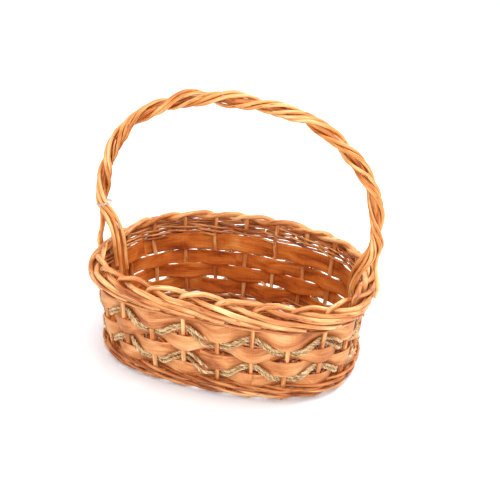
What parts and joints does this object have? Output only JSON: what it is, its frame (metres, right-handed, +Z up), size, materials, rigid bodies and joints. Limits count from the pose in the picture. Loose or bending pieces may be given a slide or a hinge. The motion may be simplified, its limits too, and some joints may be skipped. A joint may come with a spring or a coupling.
{
  "type": "market basket",
  "caption": "Oval woven market basket of willow rods, wood splints and seagrass cord, with a fixed twisted bow handle over its length.",
  "frame": {"origin": "middle of the basket's underside, on the surface it stands on", "axes": "+Z up, +X along the basket's length, in the plane of the handle, +Y across it"},
  "size_m": [0.4137, 0.2918, 0.3716],
  "materials": {
    "willow_stake": "peeled willow, satin",
    "wood_splint": "stained wood splint, satin",
    "seagrass": "twisted seagrass, matt",
    "willow_weaver": "peeled willow, satin",
    "willow_base": "peeled willow, satin",
    "willow_handle": "peeled willow, satin",
    "binding_wire": "thin pale wire"
  },
  "bodies": {
    "root": {"base_cross_stick_1": "willow_base", "base_cross_stick_2": "willow_base", "base_cross_stick_3": "willow_base", "base_cross_stick_4": "willow_base", "base_cross_stick_5": "willow_base", "base_cross_stick_6": "willow_base", "base_cross_stick_7": "willow_base", "base_long_stick_1": "willow_base", "base_long_stick_2": "willow_base", "base_long_stick_3": "willow_base", "base_long_stick_4": "willow_base", "base_long_stick_5": "willow_base", "base_weaving": "willow_base", "foot_weaver_1": "willow_weaver", "foot_weaver_2": "willow_weaver", "foot_weaver_3": "willow_weaver", "handle_binding_wire": "binding_wire", "handle_bow": "willow_handle", "handle_winding_1": "willow_handle", "handle_winding_2": "willow_handle", "handle_winding_3": "willow_handle", "handle_winding_4": "willow_handle", "handle_winding_5": "willow_handle", "rim_weaver_1": "willow_weaver", "rim_weaver_2": "willow_weaver", "rim_weaver_3": "willow_weaver", "rim_weaver_4": "willow_weaver", "rim_weaver_5": "willow_weaver", "seagrass_lower_a": "seagrass", "seagrass_lower_b": "seagrass", "seagrass_upper_a": "seagrass", "seagrass_upper_b": "seagrass", "splint_1": "wood_splint", "splint_2": "wood_splint", "splint_3": "wood_splint", "splint_4": "wood_splint", "stake_01": "willow_stake", "stake_02": "willow_stake", "stake_03": "willow_stake", "stake_04": "willow_stake", "stake_05": "willow_stake", "stake_06": "willow_stake", "stake_07": "willow_stake", "stake_08": "willow_stake", "stake_09": "willow_stake", "stake_10": "willow_stake", "stake_11": "willow_stake", "stake_12": "willow_stake", "stake_13": "willow_stake", "stake_14": "willow_stake", "stake_15": "willow_stake", "stake_16": "willow_stake", "stake_17": "willow_stake", "stake_18": "willow_stake", "stake_19": "willow_stake", "stake_20": "willow_stake", "stake_21": "willow_stake", "stake_22": "willow_stake"}
  },
  "joints": []
}
